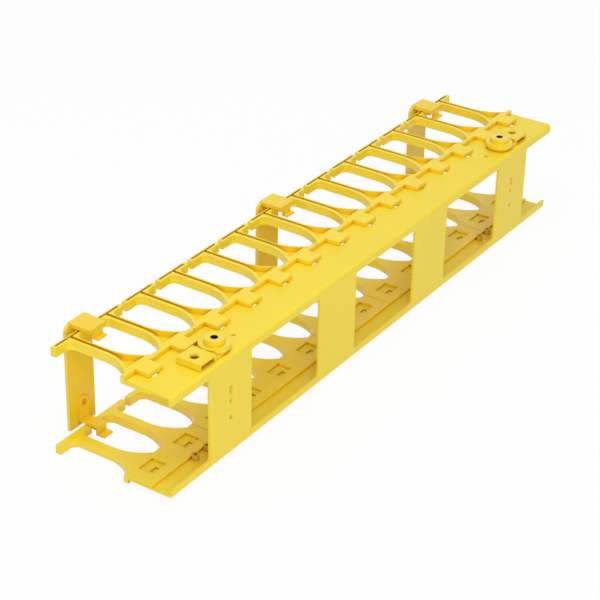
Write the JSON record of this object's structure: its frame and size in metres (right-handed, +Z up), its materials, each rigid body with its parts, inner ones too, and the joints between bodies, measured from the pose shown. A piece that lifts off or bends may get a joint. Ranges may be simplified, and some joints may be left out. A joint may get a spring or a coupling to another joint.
{
  "type": "vertical cable manager",
  "caption": "Finger-duct cable manager: a folded channel with slotted back, T-ended fingers along both flanges, lift-off straps and swivelling mounting ears.",
  "frame": {"origin": "middle of the footprint, on the floor that the lower combs' outer faces rest on", "axes": "+X along the channel, +Y from the web to the finger tips, +Z up, square to the flanges"},
  "size_m": [0.6224, 0.128, 0.107],
  "materials": {
    "coated_sheet": "smooth satin powder coat",
    "coated_turned": "satin coat",
    "standoff_metal": "satin coat",
    "moulded_comb": "semi-gloss moulded",
    "moulded_strap": "semi-gloss moulded"
  },
  "bodies": {
    "manager": {"channel": "coated_sheet", "upper_comb_1": "moulded_comb", "upper_comb_2": "moulded_comb", "upper_comb_3": "moulded_comb", "upper_comb_4": "moulded_comb", "upper_comb_5": "moulded_comb", "lower_comb_1": "moulded_comb", "lower_comb_2": "moulded_comb", "lower_comb_3": "moulded_comb", "lower_comb_4": "moulded_comb", "lower_comb_5": "moulded_comb", "bushing_near": "coated_turned", "bushing_far": "coated_turned", "standoffs_near": "standoff_metal", "standoffs_far": "standoff_metal"},
    "strap_near": {"strap_near": "moulded_strap"},
    "strap_middle": {"strap_middle": "moulded_strap"},
    "strap_far": {"strap_far": "moulded_strap"},
    "ear_near": {"ear_near": "coated_sheet"},
    "ear_far": {"ear_far": "coated_sheet"}
  },
  "joints": [
    {"name": "strap_near_lift", "type": "slide", "parent": "manager", "child": "strap_near", "axis": [0, 0, 1], "range_m": [0, 0.012]},
    {"name": "strap_middle_lift", "type": "slide", "parent": "manager", "child": "strap_middle", "axis": [0, 0, 1], "range_m": [0, 0.012]},
    {"name": "strap_far_lift", "type": "slide", "parent": "manager", "child": "strap_far", "axis": [0, 0, 1], "range_m": [0, 0.012]},
    {"name": "ear_near_swivel", "type": "hinge", "parent": "manager", "child": "ear_near", "pos_m": [-0.23336, -0.04765, 0.09725], "axis": [0, 0, 1], "range_deg": [0, 90]},
    {"name": "ear_far_swivel", "type": "hinge", "parent": "manager", "child": "ear_far", "pos_m": [0.23336, -0.04765, 0.09725], "axis": [0, 0, -1], "range_deg": [0, 90]}
  ]
}
